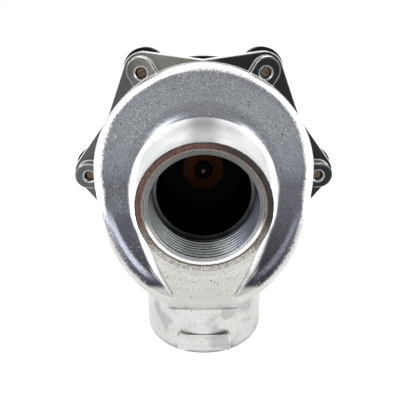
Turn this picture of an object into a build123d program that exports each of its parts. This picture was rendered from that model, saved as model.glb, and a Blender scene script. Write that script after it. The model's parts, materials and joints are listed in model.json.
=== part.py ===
import os
from math import acos, atan2, cos, radians, sin, sqrt, tan

from build123d import *

os.makedirs("parts", exist_ok=True)

# Driving dimensions, in millimetres
# Origin: centre of the inlet mouth. Inlet opens to -Z, outlet to -Y, cover faces +Y.
outlet_reach = 31.5
outlet_height = 73.8
thread_r = 22.42
thread_length = 16.2
mouth_chamfer = 1.8
mouth_chamfer_r = 24.6
facing_r = 25.3
facing_depth = 0.25
inlet_chamfer = 0.8
relief_r = 23.3
relief_width = 2.1
bore_r = 21.1

# Body casting
boss_r = 27.7
boss_draft = 3.0
neck_fillet = 8.0
inlet_r = 28.9
ring_s = 35.0
joint_s = 57.5
drum_r = 53.0
edge_round = 4.5
blend_r = 30.0
blend_top_z = 8.0
lean = 5.0
lean_s = 41.0
lean_inset = 0.6
foot_fillet = 8.0
wall = 5.0
ramp_top_z = -6.0
ramp_foot_z = -41.0
lip_s = 0.8
seat_s = 54.7
seat_outer_r = 24.8
plate_s = 50.0
plate_margin = 0.5
plate_r = drum_r + plate_margin
apron_foot = 12.4
apron_turn_z = -32.0
apron_foot_z = -43.4
apron_back = 0.92
apron_bend = 70.0
apron_round = 1.2
pad_half = 12.2
pad_height = 8.6
pad_lift = 2.4
pad_proud = 0.3
mouth_round = 1.2

# Lugs, screws and their pattern, shared by body, cover, washers and screws
lug_count = 6
lug_reach = 3.25
bolt_circle_r = drum_r + lug_reach
plate_lug_r = 9.0
pillar_s = 43.0
pillar_r = 6.2
pillar_shift = 1.0
pillar_round = 0.6
tap_r = 2.5
tap_chamfer = 0.5
thread_gap = 0.02
screw_clear_r = 3.3
screw_shank_r = 3.0
screw_head_flats = 10.0
screw_head_height = 4.0
screw_tip_inset = 2.6
washer_r = 6.2
washer_thick = 1.4

# Diaphragm and its centre pieces
rim_thick = 2.0
rim_margin = 0.2
rim_r = drum_r + rim_margin
bead_inset = 2.4
bead_r = drum_r - bead_inset
bead_half = 1.1
bead_depth = 1.0
centre_r = 27.0
centre_thick = 4.0
body_gap = 0.3
web_thick = 1.6
fold_half = 2.5
fold_run = 4.0
disc_washer_r = 10.4
disc_washer_thick = 1.0
bolt_head_r = 4.6
bolt_head_height = 2.4
bolt_r = 3.0
bolt_point_r = 1.3
retainer_r = 18.0
retainer_thick = 1.5
nut_flats = 10.0
nut_height = 4.0
bolt_end = 1.0
lift = 5.0
lift_room = 1.375

# Cover
cover_margin = 2.2
cover_r = drum_r + cover_margin
cover_flange = 5.5
cover_lug_r = 10.6
cover_lug_height = 7.0
cover_clamp = 7.5
cover_inner_r = drum_r - cover_clamp
cover_top_thick = 3.5
cover_side = 3.8
cover_room = 7.0
rib_thick = 3.0
pilot_boss_r = 16.0
pilot_boss_height = 8.0
socket_r = 9.0
socket_depth = 2.8
cavity_r = 6.8
nozzle_r = 3.0
nozzle_height = 2.2
nozzle_hole_r = 1.2
nozzle_lip = 0.5
exhaust_r = 1.7

# Main spring
spring_r = 12.0
spring_wire_r = 0.8
spring_turns = 3.5

# Solenoid
stroke = 1.5
stem_flats = 24.0
stem_flange = 4.0
tube_r = 6.0
tube_bore_r = 5.05
plunger_r = 4.99
plunger_length = 18.0
plunger_bore_r = 2.6
plunger_bore_depth = 8.0
seal_r = 3.2
seal_thick = 2.2
seal_step = 0.4
core_stud_r = 3.5
shade_inner_r = 3.4
shade_outer_r = 4.3
shade_depth = 1.4
small_spring_r = 2.0
small_wire_r = 0.3
small_turns = 7
seal_ring_r = 0.9

# Coil
coil_half = 15.5
coil_length = 27.0
coil_drop = 21.0
coil_rise = 15.5
bobbin_flange_r = 13.0
bobbin_flange = 1.2
bobbin_wall = 1.0
coil_gap = 0.05
yoke_half = 13.5
yoke_thick = 2.5
coil_nut_flats = 12.0
coil_nut_height = 5.0
coil_washer_r = 8.0
coil_washer_thick = 1.2

# Connector
connector_half = 13.8
connector_height = 25.0
connector_wall = 1.8
connector_round = 3.0
blade_width = 6.3
blade_thick = 0.8
blade_length = 8.0
blade_root = 3.0
blade_pitch = 9.0
flat_seal = 1.2
block_gap = 0.15
block_height = 15.0
connector_screw_r = 1.45
connector_head_r = 3.0
connector_head = 2.0
gland_r = 9.0
gland_length = 11.0
gland_hole_r = 3.4
gland_rise = 10.5
gland_seal_r = 6.0
gland_seal_length = 7.0
screw_root = 5.0

# Planes and stations derived from the driving dimensions
outlet_axis = Axis((0, 0, outlet_height), (0, 1, 0))
side = Plane(origin=(0, -outlet_reach, outlet_height), x_dir=(0, 1, 0), z_dir=(1, 0, 0))
cover_s = joint_s + rim_thick
disc_s = seat_s + body_gap
disc_back_s = disc_s + centre_thick
retainer_back_s = disc_back_s + retainer_thick
bolt_back_s = retainer_back_s + nut_height + bolt_end
ceiling_s = bolt_back_s + lift + lift_room
cover_top_s = ceiling_s + cover_top_thick
boss_top_s = cover_top_s + pilot_boss_height
nozzle_s = cover_top_s - cover_top_thick / 2 + nozzle_height
cavity_floor_s = cover_top_s - cover_top_thick / 2
stem_top_s = boss_top_s + stem_flange
plunger_s = nozzle_s + body_gap
plunger_back_s = plunger_s + plunger_length
core_s = plunger_back_s + stroke + body_gap
coil_s = stem_top_s + yoke_thick
coil_back_s = coil_s + coil_length
yoke_back_s = coil_back_s + yoke_thick
coil_nut_s = yoke_back_s + coil_washer_thick
stud_back_s = coil_nut_s + coil_nut_height + bolt_end
connector_s = (coil_s + coil_back_s) / 2
seal_z = -coil_drop - flat_seal
connector_foot_z = seal_z - connector_height
port_back_z = -bolt_circle_r * sin(radians(60)) - cover_lug_r - body_gap


def face(s):
    """Plane across the outlet axis, seen from the outlet, s behind the mouth."""
    return Plane(origin=(0, s - outlet_reach, outlet_height), x_dir=(1, 0, 0), z_dir=(0, -1, 0))


def level(z):
    """Level plane z above the outlet axis, its X along the row's X, centred on the outlet mouth."""
    return Plane(origin=(0, -outlet_reach, outlet_height + z), x_dir=(1, 0, 0), z_dir=(0, 0, 1))


def on_wall(edge):
    """True for an edge that lies on the leaning round wall of the lower chamber."""
    spots = [lean_plane.to_local_coords(Vector(edge @ t)) for t in (0.2, 0.5, 0.8)]
    return all(abs(sqrt(p.X**2 + p.Y**2) - lean_r) < 0.05 for p in spots)


def ring(front, back, inner, outer):
    """Section of a ring about the outlet axis, to be revolved."""
    Polygon((front, inner), (back, inner), (back, outer), (front, outer), align=None)


# Lower chamber of the body: it ramps forward to the inlet, and its round wall leans in
# toward the outlet. Its leaning wall meets the ramp in one soft edge.
lean_r = drum_r - lean_inset
lean_plane = Plane(
    origin=(0, lean_s - outlet_reach, outlet_height),
    x_dir=(1, 0, 0),
    z_dir=(0, -cos(radians(lean)), sin(radians(lean))),
)
with BuildPart() as lower_shell:
    with BuildSketch(side) as ramp:
        Polygon(
            (ring_s, blend_top_z),
            (ring_s, ramp_top_z),
            (lip_s, ramp_foot_z),
            (lip_s, -drum_r - wall),
            (lean_s + wall, -drum_r - wall),
            (lean_s + wall, blend_top_z),
            align=None,
        )
        fillet(ramp.vertices().sort_by_distance((ring_s, ramp_top_z))[0], radius=blend_r)
        fillet(ramp.vertices().sort_by_distance((lip_s, ramp_foot_z))[0], radius=foot_fillet)
    extrude(amount=drum_r + wall, both=True)
    with BuildSketch(lean_plane):
        Circle(lean_r)
    extrude(amount=drum_r, both=True, mode=Mode.INTERSECT)
    wall_edges = lower_shell.edges().filter_by(lambda e: on_wall(e) and (e @ 0.5).Y < ring_s - outlet_reach)
    fillet(wall_edges, radius=edge_round)

# Hollow of the lower chamber, one wall inside the ramp and the round wall
ramp_length = sqrt((ring_s - lip_s) ** 2 + (ramp_top_z - ramp_foot_z) ** 2)
ramp_s_step = wall * (ramp_top_z - ramp_foot_z) / ramp_length
ramp_z_step = wall * (ring_s - lip_s) / ramp_length
with BuildPart() as lower_core:
    with BuildSketch(side):
        Polygon(
            (ring_s + ramp_s_step, ramp_top_z - ramp_z_step),
            (lip_s + ramp_s_step, ramp_foot_z - ramp_z_step),
            (lip_s + ramp_s_step, -drum_r),
            (joint_s, -drum_r),
            (joint_s, ramp_top_z - ramp_z_step),
            align=None,
        )
    extrude(amount=drum_r, both=True)
    with BuildSketch(lean_plane):
        Circle(lean_r - wall)
    extrude(amount=drum_r, both=True, mode=Mode.INTERSECT)
    with BuildSketch(side):
        ring(0, joint_s, 0, boss_r)
    revolve(axis=outlet_axis, mode=Mode.SUBTRACT)

# Apron: web from the outlet boss down to the inlet port, its face leaning back to the lip.
# Its sides leave the boss as tangents.
foot_angle = atan2(apron_foot_z, apron_foot)
apron_angle = foot_angle + acos(boss_r / sqrt(apron_foot**2 + apron_foot_z**2))
apron_top = boss_r * cos(apron_angle)
apron_top_z = boss_r * sin(apron_angle)
with BuildPart() as apron:
    with BuildSketch(side) as apron_section:
        Polygon(
            (0, apron_top_z),
            (0, apron_turn_z),
            (apron_back, apron_foot_z),
            (ring_s, apron_foot_z),
            (ring_s, apron_top_z),
            align=None,
        )
        fillet(apron_section.vertices().sort_by_distance((0, apron_turn_z))[0], radius=apron_bend)
    extrude(amount=boss_r, both=True)
    with BuildSketch(face(0)):
        Polygon(
            (apron_top, apron_top_z),
            (apron_foot, apron_foot_z),
            (-apron_foot, apron_foot_z),
            (-apron_top, apron_top_z),
            align=None,
        )
    extrude(amount=-ring_s, mode=Mode.INTERSECT)
    apron_sides = apron.edges().filter_by(
        lambda e: (e @ 0.5).Y < apron_back - outlet_reach and abs((e @ 0.5).X) > apron_foot / 2
    )
    fillet(apron_sides, radius=apron_round)

# Pillars that carry the tapped holes, their front edges rounded
with BuildPart() as pillars:
    with BuildSketch(face(pillar_s)):
        with PolarLocations(bolt_circle_r + pillar_shift, lug_count):
            Circle(pillar_r)
        with PolarLocations(bolt_circle_r - pillar_r, lug_count):
            Rectangle(2 * pillar_r + 2 * pillar_shift, 2 * pillar_r)
    extrude(amount=pillar_s - joint_s)
    fillet(pillars.edges().group_by(Axis.Y)[0], radius=pillar_round)

# Valve body: one casting with both ports, drum, seat tube, joint plate and tapped lugs
tangent = acos((plate_r - plate_lug_r) / bolt_circle_r)
neck_foot_r = boss_r + tan(radians(boss_draft)) * ring_s
with BuildPart() as valve_body:
    # drum and neck in one turned section, with the neck's large foot fillet
    with BuildSketch(side) as turned:
        Polygon(
            (0, 0),
            (0, boss_r),
            (ring_s, neck_foot_r),
            (ring_s, drum_r),
            (joint_s, drum_r),
            (joint_s, 0),
            align=None,
        )
        fillet(turned.vertices().sort_by_distance((ring_s, neck_foot_r))[0], radius=neck_fillet)
        fillet(turned.vertices().sort_by_distance((ring_s, drum_r))[0], radius=edge_round)
    revolve(axis=outlet_axis)
    add(lower_shell.part)

    # apron between the outlet boss and the inlet port
    add(apron.part)

    # inlet port, its top hidden in the lower chamber
    with BuildSketch(Plane.XY):
        Circle(inlet_r)
    extrude(amount=outlet_height - drum_r + 2 * wall)
    fillet(valve_body.edges().sort_by(Axis.Z)[0], radius=mouth_round)

    # wrench pads on the inlet port, front and back
    for pad_side in (1, -1):
        with BuildSketch(Plane.XZ.offset(pad_side * (inlet_r + pad_proud))):
            with Locations((0, pad_lift + pad_height / 2)):
                RectangleRounded(2 * pad_half, pad_height, mouth_round)
        extrude(amount=-pad_side * (inlet_r - relief_r))

    # joint plate with the lug outlines
    with BuildSketch(face(plate_s)):
        Circle(plate_r)
        with PolarLocations(0, lug_count):
            Polygon(
                (plate_r * cos(tangent), plate_r * sin(tangent)),
                (bolt_circle_r + plate_lug_r * cos(tangent), plate_lug_r * sin(tangent)),
                (bolt_circle_r + plate_lug_r * cos(tangent), -plate_lug_r * sin(tangent)),
                (plate_r * cos(tangent), -plate_r * sin(tangent)),
                align=None,
            )
        with PolarLocations(bolt_circle_r, lug_count):
            Circle(plate_lug_r)
    extrude(amount=plate_s - joint_s)

    # pillars that carry the tapped holes
    add(pillars.part)

    # clear the joint plane behind the inlet port for the cover
    with BuildSketch(side):
        Polygon(
            (joint_s, port_back_z),
            (joint_s, -drum_r / 2),
            (joint_s + plate_lug_r, -drum_r / 2),
            (joint_s + plate_lug_r, port_back_z),
            align=None,
        )
    extrude(amount=inlet_r, both=True, mode=Mode.SUBTRACT)

    # annular chamber round the seat tube
    with BuildSketch(side):
        ring(ring_s + wall, joint_s, seat_outer_r, drum_r - wall)
    revolve(axis=outlet_axis, mode=Mode.SUBTRACT)

    # lower chamber, hollow behind the ramp and clear of the seat tube
    add(lower_core.part, mode=Mode.SUBTRACT)

    # seat tube end and its sealing land
    with BuildSketch(side):
        ring(seat_s, joint_s, 0, seat_outer_r)
    revolve(axis=outlet_axis, mode=Mode.SUBTRACT)

    # outlet bore, relief, thread wall and mouth chamfer
    with BuildSketch(side):
        Polygon(
            (0, 0),
            (0, facing_r),
            (facing_depth, facing_r),
            (facing_depth, mouth_chamfer_r),
            (mouth_chamfer, thread_r),
            (mouth_chamfer + thread_length, thread_r),
            (mouth_chamfer + thread_length, relief_r),
            (mouth_chamfer + thread_length + relief_width, relief_r),
            (mouth_chamfer + thread_length + relief_width, bore_r),
            (joint_s, bore_r),
            (joint_s, 0),
            align=None,
        )
    revolve(axis=outlet_axis, mode=Mode.SUBTRACT)

    # inlet bore, relief, thread wall and mouth chamfer
    with BuildSketch(Plane.XZ):
        Polygon(
            (0, 0),
            (thread_r + inlet_chamfer, 0),
            (thread_r, inlet_chamfer),
            (thread_r, inlet_chamfer + thread_length),
            (relief_r, inlet_chamfer + thread_length),
            (relief_r, inlet_chamfer + thread_length + relief_width),
            (bore_r, inlet_chamfer + thread_length + relief_width),
            (bore_r, outlet_height - boss_r - 2 * wall),
            (0, outlet_height - boss_r - 2 * wall),
            align=None,
        )
    revolve(axis=Axis.Z, mode=Mode.SUBTRACT)

    # groove for the diaphragm's bead
    with BuildSketch(side):
        ring(joint_s - bead_depth, joint_s, bead_r - bead_half, bead_r + bead_half)
    revolve(axis=outlet_axis, mode=Mode.SUBTRACT)

    # tapped holes with their countersunk mouths
    with BuildSketch(face(pillar_s)):
        with PolarLocations(bolt_circle_r, lug_count):
            Circle(tap_r)
    extrude(amount=pillar_s - joint_s, mode=Mode.SUBTRACT)
    with BuildSketch(face(pillar_s)):
        with PolarLocations(bolt_circle_r, lug_count):
            Circle(tap_r + tap_chamfer)
    extrude(amount=-tap_chamfer, taper=45, mode=Mode.SUBTRACT)
valve_body.part.label = "valve_body"
export_step(valve_body.part, "parts/valve_body.step")

# Diaphragm: thick centre disc that closes the seat, and the thin web with its clamped bead
with BuildPart() as diaphragm_centre:
    with BuildSketch(side):
        ring(disc_s, disc_back_s, bolt_r, centre_r)
    revolve(axis=outlet_axis)
    fillet(diaphragm_centre.edges().sort_by(Axis.Y)[0], radius=disc_washer_thick)
diaphragm_centre.part.label = "diaphragm_centre"
export_step(diaphragm_centre.part, "parts/diaphragm_centre.step")

web_inner_r = centre_r + body_gap
web_front_s = disc_back_s - web_thick - centre_thick / 4
fold_r = (web_inner_r + cover_inner_r) / 2
with BuildPart() as diaphragm_web:
    with BuildSketch(side):
        Polygon(
            (web_front_s, web_inner_r),
            (web_front_s, fold_r - fold_half - fold_run),
            (cover_s, fold_r - fold_half),
            (cover_s, fold_r + fold_half),
            (joint_s, cover_inner_r),
            (joint_s, rim_r),
            (cover_s, rim_r),
            (cover_s, cover_inner_r),
            (cover_s + web_thick, fold_r + fold_half),
            (cover_s + web_thick, fold_r - fold_half - web_thick / 4),
            (web_front_s + web_thick, fold_r - fold_half - fold_run + web_thick / 4),
            (web_front_s + web_thick, web_inner_r),
            align=None,
        )
        ring(joint_s - bead_depth, joint_s, bead_r - bead_half, bead_r + bead_half)
    revolve(axis=outlet_axis)
diaphragm_web.part.label = "diaphragm_web"
export_step(diaphragm_web.part, "parts/diaphragm_web.step")

# Washer in front of the diaphragm, seen through the outlet
with BuildPart() as diaphragm_washer:
    with BuildSketch(side):
        ring(disc_s - disc_washer_thick, disc_s, bolt_r, disc_washer_r)
    revolve(axis=outlet_axis)
diaphragm_washer.part.label = "diaphragm_washer"
export_step(diaphragm_washer.part, "parts/diaphragm_washer.step")

# Bolt through the diaphragm, its head toward the outlet with a centre point
bolt_head_s = disc_s - disc_washer_thick - bolt_head_height
with BuildPart() as diaphragm_bolt:
    with BuildSketch(side) as bolt_section:
        Polygon(
            (bolt_head_s, bolt_point_r),
            (bolt_head_s, bolt_head_r),
            (disc_s - disc_washer_thick, bolt_head_r),
            (disc_s - disc_washer_thick, bolt_r),
            (bolt_back_s, bolt_r),
            (bolt_back_s, 0),
            (bolt_head_s + bolt_point_r / 2, 0),
            align=None,
        )
        fillet(bolt_section.vertices().sort_by_distance((bolt_head_s, bolt_head_r))[0], radius=1.0)
    revolve(axis=outlet_axis)
diaphragm_bolt.part.label = "diaphragm_bolt"
export_step(diaphragm_bolt.part, "parts/diaphragm_bolt.step")

# Retainer plate and nut behind the diaphragm
with BuildPart() as retainer_plate:
    with BuildSketch(side):
        ring(disc_back_s, retainer_back_s, bolt_r, retainer_r)
        ring(retainer_back_s, retainer_back_s + retainer_thick, retainer_r - retainer_thick, retainer_r)
    revolve(axis=outlet_axis)
retainer_plate.part.label = "retainer_plate"
export_step(retainer_plate.part, "parts/retainer_plate.step")

with BuildPart() as retainer_nut:
    with BuildSketch(face(retainer_back_s)):
        RegularPolygon(radius=nut_flats / 2, side_count=6, major_radius=False)
        Circle(bolt_r, mode=Mode.SUBTRACT)
    extrude(amount=-nut_height)
retainer_nut.part.label = "retainer_nut"
export_step(retainer_nut.part, "parts/retainer_nut.step")

# Main spring between the retainer plate and the cover
spring_front_s = retainer_back_s + body_gap + spring_wire_r
spring_back_s = ceiling_s - spring_wire_r
with BuildPart() as main_spring:
    with BuildLine() as main_path:
        Helix(
            pitch=(spring_back_s - spring_front_s) / spring_turns,
            height=spring_back_s - spring_front_s,
            radius=spring_r,
            center=(0, spring_front_s - outlet_reach, outlet_height),
            direction=(0, 1, 0),
        )
    with BuildSketch(Plane(origin=main_path.line @ 0, z_dir=main_path.line % 0)):
        Circle(spring_wire_r)
    sweep()
main_spring.part.label = "main_spring"
export_step(main_spring.part, "parts/main_spring.step")

# Cover: flange with round lugs, dome with ribs, and the boss that holds the pilot
dome_r = cover_inner_r + cover_side
dome_top_r = dome_r - cover_room
lug_top_s = cover_s + cover_lug_height
with BuildPart() as cover:
    with BuildSketch(side) as dome:
        Polygon(
            (cover_s, 0),
            (cover_s, cover_r),
            (cover_s + cover_flange, cover_r),
            (cover_s + cover_flange, dome_r),
            (cover_top_s, dome_top_r),
            (cover_top_s, 0),
            align=None,
        )
        fillet(dome.vertices().sort_by_distance((cover_top_s, dome_top_r))[0], radius=cover_side)
    revolve(axis=outlet_axis)
    with BuildSketch(face(cover_s)):
        with PolarLocations(bolt_circle_r, lug_count):
            Circle(cover_lug_r)
    extrude(amount=-cover_lug_height)
    with BuildSketch(face(cover_top_s)):
        with PolarLocations((pilot_boss_r + dome_top_r) / 2, 2 * lug_count):
            Rectangle(dome_top_r - pilot_boss_r - cover_side, rib_thick)
    extrude(amount=-rib_thick)
    with BuildSketch(face(cover_top_s)):
        Circle(pilot_boss_r)
    extrude(amount=-pilot_boss_height)
    with BuildSketch(side):
        Polygon(
            (cover_s, 0),
            (cover_s, cover_inner_r),
            (ceiling_s, dome_top_r - cover_side),
            (ceiling_s, 0),
            align=None,
        )
    revolve(axis=outlet_axis, mode=Mode.SUBTRACT)
    with BuildSketch(side):
        Polygon(
            (cavity_floor_s, nozzle_r),
            (cavity_floor_s, cavity_r),
            (boss_top_s - socket_depth, cavity_r),
            (boss_top_s - socket_depth, socket_r),
            (boss_top_s, socket_r),
            (boss_top_s, 0),
            (nozzle_s, 0),
            (nozzle_s, nozzle_hole_r + nozzle_lip),
            align=None,
        )
    revolve(axis=outlet_axis, mode=Mode.SUBTRACT)
    with BuildSketch(face(ceiling_s)):
        Circle(nozzle_hole_r)
    extrude(amount=ceiling_s - nozzle_s, mode=Mode.SUBTRACT)
    with BuildSketch(level(-pilot_boss_r)):
        with Locations((0, cover_top_s + rib_thick)):
            Circle(exhaust_r)
    extrude(amount=pilot_boss_r - cavity_r / 2, mode=Mode.SUBTRACT)
    with BuildSketch(face(cover_s)):
        with PolarLocations(bolt_circle_r, lug_count):
            Circle(screw_clear_r)
    extrude(amount=-cover_lug_height, mode=Mode.SUBTRACT)
    with BuildSketch(face(lug_top_s)):
        with PolarLocations(bolt_circle_r, lug_count):
            Circle(washer_r + body_gap)
    extrude(amount=-screw_head_height * 2, mode=Mode.SUBTRACT)
cover.part.label = "cover"
export_step(cover.part, "parts/cover.step")

# Washers and hexagon screws that clamp the cover to the body
with BuildPart() as cover_washers:
    with BuildSketch(face(lug_top_s)):
        with PolarLocations(bolt_circle_r, lug_count):
            Circle(washer_r)
            Circle(screw_clear_r, mode=Mode.SUBTRACT)
    extrude(amount=-washer_thick)
cover_washers.part.label = "cover_washers"
export_step(cover_washers.part, "parts/cover_washers.step")

head_s = lug_top_s + washer_thick
screw_tip_s = pillar_s + screw_tip_inset
with BuildPart() as cover_screws:
    with BuildSketch(face(head_s)):
        with PolarLocations(bolt_circle_r, lug_count):
            RegularPolygon(radius=screw_head_flats / 2, side_count=6, major_radius=False)
    extrude(amount=-screw_head_height)
    with BuildSketch(face(head_s)):
        with PolarLocations(bolt_circle_r, lug_count):
            Circle(screw_shank_r)
    extrude(amount=head_s - cover_s)
    with BuildSketch(face(cover_s)):
        with PolarLocations(bolt_circle_r, lug_count):
            Circle(tap_r - thread_gap)
    extrude(amount=cover_s - screw_tip_s)
    chamfer(cover_screws.edges().group_by(Axis.Y)[0], length=tap_chamfer)
cover_screws.part.label = "cover_screws"
export_step(cover_screws.part, "parts/cover_screws.step")

# Stem: plug in the cover's socket, hexagon, and the tube that guides the plunger
plug_s = boss_top_s - socket_depth + 2 * seal_ring_r
with BuildPart() as core_tube:
    with BuildSketch(side):
        ring(plug_s, boss_top_s, tube_bore_r, socket_r - thread_gap)
        ring(boss_top_s, yoke_back_s, tube_bore_r, tube_r)
    revolve(axis=outlet_axis)
    with BuildSketch(face(boss_top_s)):
        RegularPolygon(radius=stem_flats / 2, side_count=6, major_radius=False)
        Circle(tube_bore_r, mode=Mode.SUBTRACT)
    extrude(amount=-stem_flange)
core_tube.part.label = "core_tube"
export_step(core_tube.part, "parts/core_tube.step")

with BuildPart() as stem_seal:
    with BuildSketch(side):
        with Locations((boss_top_s - socket_depth + seal_ring_r, socket_r - seal_ring_r)):
            Circle(seal_ring_r)
    revolve(axis=outlet_axis)
stem_seal.part.label = "stem_seal"
export_step(stem_seal.part, "parts/stem_seal.step")

# Fixed core welded in the tube, its stud for the coil nut and its copper shading ring
with BuildPart() as fixed_core:
    with BuildSketch(side):
        ring(core_s, yoke_back_s, 0, tube_bore_r)
        ring(yoke_back_s, stud_back_s, 0, core_stud_r)
        ring(core_s, core_s + shade_depth, shade_inner_r, shade_outer_r)
    revolve(axis=outlet_axis)
    with BuildSketch(side):
        ring(core_s, core_s + shade_depth, shade_inner_r, shade_outer_r)
    revolve(axis=outlet_axis, mode=Mode.SUBTRACT)
fixed_core.part.label = "fixed_core"
export_step(fixed_core.part, "parts/fixed_core.step")

with BuildPart() as shading_ring:
    with BuildSketch(side):
        ring(core_s, core_s + shade_depth, shade_inner_r, shade_outer_r)
    revolve(axis=outlet_axis)
shading_ring.part.label = "shading_ring"
export_step(shading_ring.part, "parts/shading_ring.step")

# Plunger with its seal, lifted by the coil off the pilot nozzle
with BuildPart() as plunger:
    with BuildSketch(side):
        Polygon(
            (plunger_s + seal_step, seal_r),
            (plunger_s + seal_step, plunger_r),
            (plunger_back_s, plunger_r),
            (plunger_back_s, plunger_bore_r),
            (plunger_back_s - plunger_bore_depth, plunger_bore_r),
            (plunger_back_s - plunger_bore_depth, 0),
            (plunger_s + seal_thick, 0),
            (plunger_s + seal_thick, seal_r),
            align=None,
        )
    revolve(axis=outlet_axis)
plunger.part.label = "plunger"
export_step(plunger.part, "parts/plunger.step")

with BuildPart() as plunger_seal:
    with BuildSketch(side):
        ring(plunger_s, plunger_s + seal_thick, 0, seal_r)
    revolve(axis=outlet_axis)
plunger_seal.part.label = "plunger_seal"
export_step(plunger_seal.part, "parts/plunger_seal.step")

small_front_s = plunger_back_s - plunger_bore_depth + body_gap + small_wire_r
small_back_s = core_s - small_wire_r
with BuildPart() as plunger_spring:
    with BuildLine() as small_path:
        Helix(
            pitch=(small_back_s - small_front_s) / small_turns,
            height=small_back_s - small_front_s,
            radius=small_spring_r,
            center=(0, small_front_s - outlet_reach, outlet_height),
            direction=(0, 1, 0),
        )
    with BuildSketch(Plane(origin=small_path.line @ 0, z_dir=small_path.line % 0)):
        Circle(small_wire_r)
    sweep()
plunger_spring.part.label = "plunger_spring"
export_step(plunger_spring.part, "parts/plunger_spring.step")

# Coil: bobbin, winding, moulded body and the steel yoke round it
with BuildPart() as coil_bobbin:
    with BuildSketch(side):
        ring(coil_s, coil_back_s, tube_r + coil_gap, tube_r + coil_gap + bobbin_wall)
        ring(coil_s, coil_s + bobbin_flange, tube_r + coil_gap, bobbin_flange_r)
        ring(coil_back_s - bobbin_flange, coil_back_s, tube_r + coil_gap, bobbin_flange_r)
    revolve(axis=outlet_axis)
coil_bobbin.part.label = "coil_bobbin"
export_step(coil_bobbin.part, "parts/coil_bobbin.step")

winding_s = coil_s + bobbin_flange
winding_back_s = coil_back_s - bobbin_flange
with BuildPart() as coil_winding:
    with BuildSketch(side):
        ring(winding_s, winding_back_s, tube_r + coil_gap + bobbin_wall, bobbin_flange_r - coil_gap)
    revolve(axis=outlet_axis)
coil_winding.part.label = "coil_winding"
export_step(coil_winding.part, "parts/coil_winding.step")

blade_top_z = -coil_drop + blade_root
with BuildPart() as contact_blades:
    with BuildSketch(level(blade_top_z)):
        with Locations((0, connector_s - blade_pitch), (0, connector_s + blade_pitch)):
            Rectangle(blade_width, blade_thick)
        with Locations((blade_pitch, connector_s)):
            Rectangle(blade_thick, blade_width)
    extrude(amount=-blade_root - blade_length)
contact_blades.part.label = "contact_blades"
export_step(contact_blades.part, "parts/contact_blades.step")

with BuildPart() as coil_body:
    with BuildSketch(face(coil_s)):
        with Locations((0, (coil_rise - coil_drop) / 2)):
            RectangleRounded(2 * coil_half, coil_rise + coil_drop, mouth_round)
    extrude(amount=-coil_length)
    with BuildSketch(face(coil_s)):
        Circle(bobbin_flange_r)
    extrude(amount=-coil_length, mode=Mode.SUBTRACT)
    add(contact_blades.part, mode=Mode.SUBTRACT)
    with BuildSketch(level(-coil_drop)):
        with Locations((0, connector_s)):
            Circle(connector_screw_r)
    extrude(amount=screw_root, mode=Mode.SUBTRACT)
coil_body.part.label = "coil_body"
export_step(coil_body.part, "parts/coil_body.step")

with BuildPart() as magnet_yoke:
    with BuildSketch(face(stem_top_s)):
        with Locations((0, (coil_rise + yoke_thick - yoke_half) / 2)):
            Rectangle(2 * yoke_half, coil_rise + yoke_thick + yoke_half)
        Circle(tube_r + coil_gap, mode=Mode.SUBTRACT)
    extrude(amount=stem_top_s - yoke_back_s)
    with BuildSketch(face(coil_s)):
        with Locations((0, coil_rise / 2 - coil_drop / 2)):
            Rectangle(2 * coil_half, coil_rise + coil_drop)
    extrude(amount=-coil_length, mode=Mode.SUBTRACT)
    top_edges = magnet_yoke.edges().filter_by(Axis.X).group_by(Axis.Z)[-1]
    fillet(top_edges, radius=yoke_thick / 2)
magnet_yoke.part.label = "magnet_yoke"
export_step(magnet_yoke.part, "parts/magnet_yoke.step")

with BuildPart() as coil_washer:
    with BuildSketch(side):
        ring(yoke_back_s, coil_nut_s, core_stud_r, coil_washer_r)
    revolve(axis=outlet_axis)
coil_washer.part.label = "coil_washer"
export_step(coil_washer.part, "parts/coil_washer.step")

with BuildPart() as coil_nut:
    with BuildSketch(face(coil_nut_s)):
        RegularPolygon(radius=coil_nut_flats / 2, side_count=6, major_radius=False)
        Circle(core_stud_r, mode=Mode.SUBTRACT)
    extrude(amount=-coil_nut_height)
coil_nut.part.label = "coil_nut"
export_step(coil_nut.part, "parts/coil_nut.step")

# Connector: flat seal, contact block, housing, its screw and the cable gland
with BuildPart() as connector_seal:
    with BuildSketch(level(-coil_drop)):
        with Locations((0, connector_s)):
            RectangleRounded(2 * connector_half, 2 * connector_half, connector_round)
    extrude(amount=-flat_seal)
    add(contact_blades.part, mode=Mode.SUBTRACT)
    with BuildSketch(level(-coil_drop)):
        with Locations((0, connector_s)):
            Circle(connector_screw_r)
    extrude(amount=-flat_seal, mode=Mode.SUBTRACT)
connector_seal.part.label = "connector_seal"
export_step(connector_seal.part, "parts/connector_seal.step")

block_half = connector_half - connector_wall - block_gap
with BuildPart() as contact_block:
    with BuildSketch(level(seal_z)):
        with Locations((0, connector_s)):
            RectangleRounded(2 * block_half, 2 * block_half, connector_round - connector_wall)
            Circle(connector_screw_r, mode=Mode.SUBTRACT)
    extrude(amount=-block_height)
    add(contact_blades.part, mode=Mode.SUBTRACT)
contact_block.part.label = "contact_block"
export_step(contact_block.part, "parts/contact_block.step")

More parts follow.
